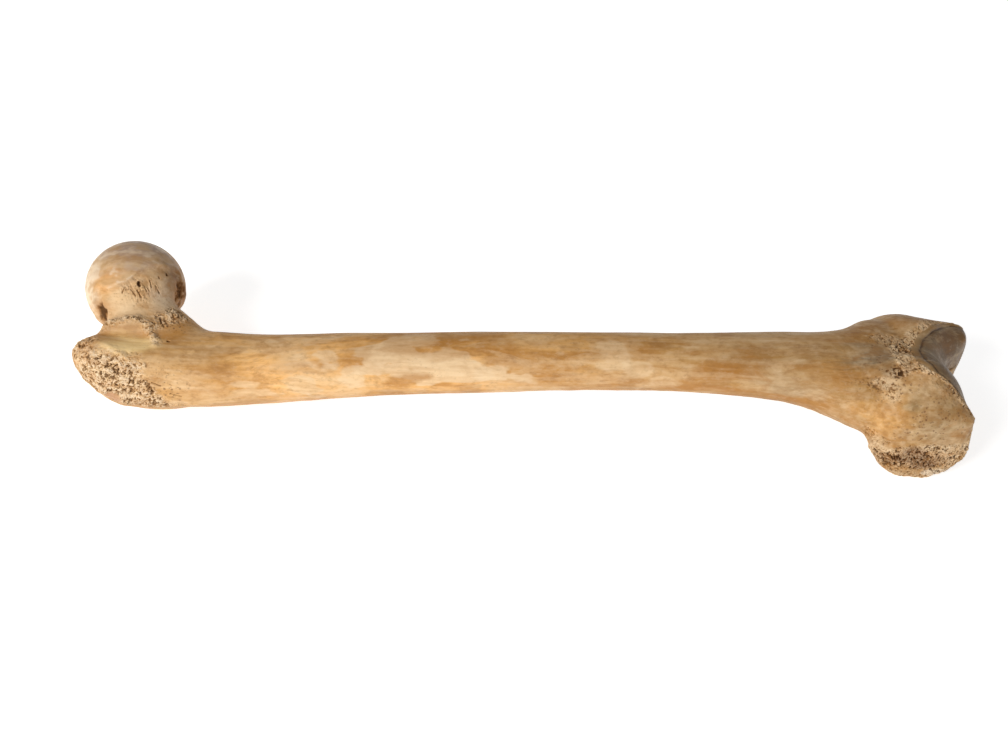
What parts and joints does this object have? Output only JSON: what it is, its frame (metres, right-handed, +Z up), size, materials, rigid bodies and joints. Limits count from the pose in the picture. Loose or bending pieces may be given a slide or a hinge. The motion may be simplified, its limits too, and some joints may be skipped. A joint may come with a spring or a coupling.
{
  "type": "human femur",
  "caption": "Right human thigh bone at life size, a dry museum specimen lying on its back: round head, neck, trochanters, bowed shaft and paired knee condyles.",
  "frame": {"origin": "middle of the bounding box's underside, on the surface the bone rests on", "axes": "+X along the shaft towards the knee, +Y to the medial side where the head is, +Z up, out of the bone's front"},
  "size_m": [0.4518, 0.1092, 0.0632],
  "materials": {
    "cortical_bone": "satin",
    "articular_bone": "satin",
    "porous_bone": "matte"
  },
  "bodies": {
    "root": {"head": "articular_bone", "neck": "cortical_bone", "greater_trochanter": "porous_bone", "lesser_trochanter": "porous_bone", "shaft": "cortical_bone", "lateral_condyle": "articular_bone", "medial_condyle": "articular_bone"}
  },
  "joints": []
}
